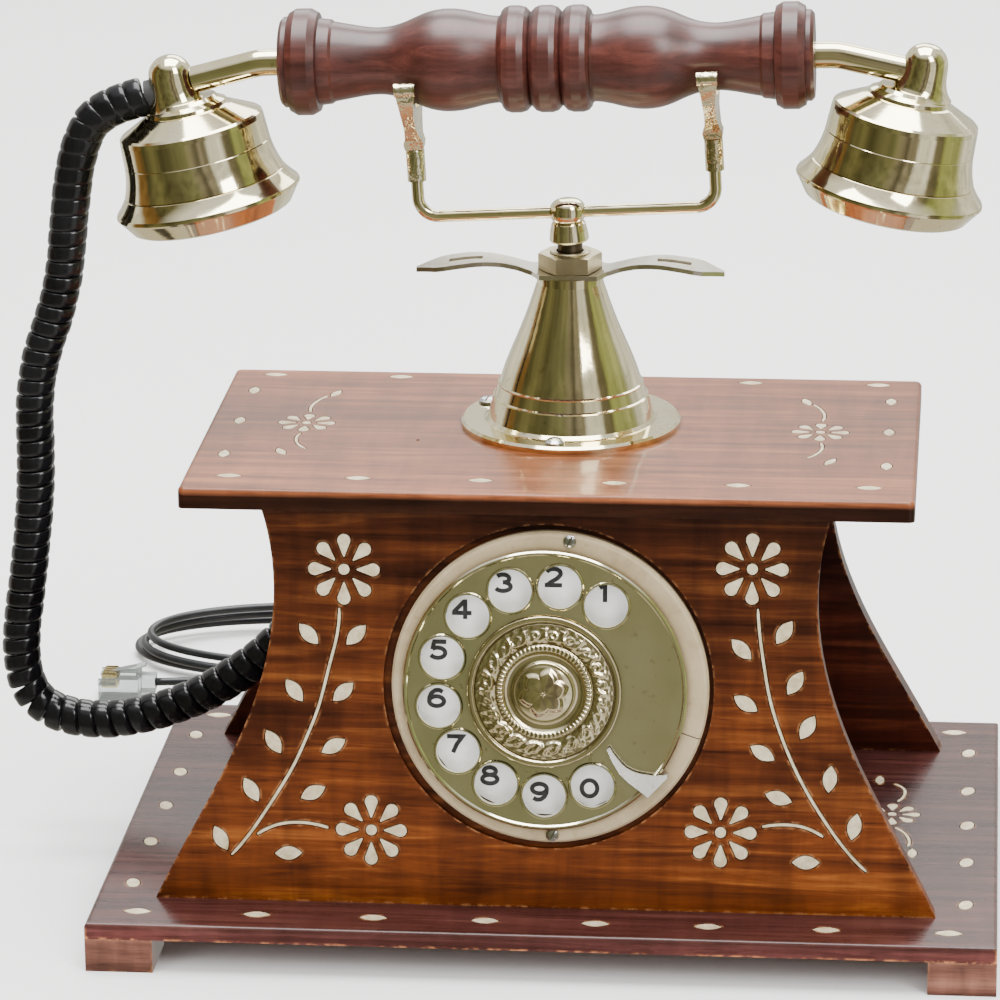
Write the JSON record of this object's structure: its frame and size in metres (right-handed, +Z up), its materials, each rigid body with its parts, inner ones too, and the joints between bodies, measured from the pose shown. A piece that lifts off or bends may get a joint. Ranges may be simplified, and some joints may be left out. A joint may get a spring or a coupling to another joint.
{
  "type": "rotary desk telephone",
  "caption": "Desk telephone with flared wooden case, let-in brass ornament, rotary dial, cone pedestal and fork cradle holding a turned-wood handset on a curly cord.",
  "frame": {"origin": "centre of the base board's footprint, on the surface the feet stand on", "axes": "+X to the viewer's right along the case's width, +Y from the dial towards the back, +Z up"},
  "size_m": [0.286, 0.3024, 0.2497],
  "materials": {
    "walnut_case": "horizontal figured grain, satin lacquer",
    "walnut_top": "glossy lacquer",
    "walnut_base": "glossy lacquer",
    "walnut_feet": "satin lacquer",
    "turned_wood": "turned, soft gloss",
    "pine_block": "raw",
    "ornament_brass": "flush, satin",
    "polished_brass": "polished",
    "nut_brass": "polished, worn",
    "dial_brass": "polished, worn",
    "zinc_screw": "zinc plated",
    "brass_screw": "domed",
    "stop_steel": "polished",
    "plate_white": "gloss",
    "digit_black": "printed",
    "mechanism_steel": "bright",
    "gear_brass": "machined",
    "gong_steel": "plated",
    "coil_copper": "wound",
    "clapper_steel": "plain",
    "board_green": "gloss",
    "component_black": "moulded",
    "capsule_plastic": "moulded",
    "cord_black": "extruded, soft gloss",
    "rubber_black": "moulded",
    "plug_clear": "clear"
  },
  "bodies": {
    "root": {"base_board": "walnut_base", "base_inlay": "ornament_brass", "base_screws": "zinc_screw", "feet": "walnut_feet", "foot_screws": "zinc_screw", "front_board": "walnut_case", "front_inlay": "ornament_brass", "rear_board": "walnut_case", "side_wall_left": "walnut_case", "side_wall_right": "walnut_case", "corner_blocks": "pine_block", "top_board": "walnut_top", "top_inlay": "ornament_brass", "dial_bezel": "dial_brass", "bezel_screws": "zinc_screw", "dial_number_plate": "plate_white", "dial_digits": "digit_black", "dial_frame": "mechanism_steel", "dial_spring_box": "mechanism_steel", "finger_stop": "stop_steel", "pedestal": "polished_brass", "pedestal_screws": "brass_screw", "wing_bar": "polished_brass", "hex_nut": "nut_brass", "top_washer": "nut_brass", "curly_cord_lower": "cord_black", "cord_grommet": "rubber_black", "line_gland": "rubber_black", "line_cord": "cord_black", "line_plug": "plug_clear", "hook_switch": "mechanism_steel", "ringer_gongs": "gong_steel", "ringer_posts": "mechanism_steel", "ringer_coil": "coil_copper", "circuit_board": "board_green", "board_components": "component_black"},
    "dial": {"finger_wheel": "dial_brass", "dial_medallion": "dial_brass", "dial_shaft": "mechanism_steel", "dial_gear": "gear_brass"},
    "governor": {"governor_pinion": "gear_brass"},
    "cradle": {"plunger_rod": "mechanism_steel", "cradle_hub": "polished_brass", "cross_rod": "polished_brass", "fork_sleeves": "polished_brass", "fork_left": "polished_brass", "fork_right": "polished_brass"},
    "hook_lever": {"hook_lever": "mechanism_steel"},
    "handset": {"handle": "turned_wood", "receiver_arm": "polished_brass", "transmitter_arm": "polished_brass", "receiver_shell": "polished_brass", "transmitter_shell": "polished_brass", "receiver_cap": "polished_brass", "transmitter_cap": "polished_brass", "receiver_capsule": "capsule_plastic", "transmitter_capsule": "capsule_plastic", "handset_gland": "rubber_black", "curly_cord_upper": "cord_black"},
    "clapper": {"ringer_clapper": "clapper_steel"}
  },
  "joints": [
    {"name": "finger_dial", "type": "hinge", "parent": "root", "child": "dial", "pos_m": [0.0004, -0.05941, 0.07493], "axis": [0, 0.9923, -0.1236], "range_deg": [0, 325], "stiffness_Nm_per_rad": 0.008, "springref_deg": -57.3},
    {"name": "governor_spin", "type": "hinge", "parent": "root", "child": "governor", "pos_m": [-0.02079, -0.06036, 0.06728], "axis": [0, 0.9923, -0.1236], "range_deg": [-1305, 5]},
    {"name": "cradle_plunge", "type": "slide", "parent": "root", "child": "cradle", "axis": [0, 0, 1], "range_m": [0, 0.004], "stiffness_N_per_m": 120, "springref_m": 0.012},
    {"name": "hook_lever_tilt", "type": "hinge", "parent": "root", "child": "hook_lever", "pos_m": [-0.018, 0.01, 0.108], "axis": [0, -1, 0], "range_deg": [0, 9.5]},
    {"name": "handset_lift", "type": "slide", "parent": "cradle", "child": "handset", "axis": [0, 0, 1], "range_m": [0, 0.08]},
    {"name": "clapper_swing", "type": "hinge", "parent": "root", "child": "clapper", "pos_m": [0, 0.0475, 0.033], "axis": [0, 0, 1], "range_deg": [-4, 4]}
  ],
  "couplings": [
    {"joint": "governor_spin", "follows": "finger_dial", "ratio": -4},
    {"joint": "hook_lever_tilt", "follows": "cradle_plunge", "rad_per_m": 40}
  ]
}
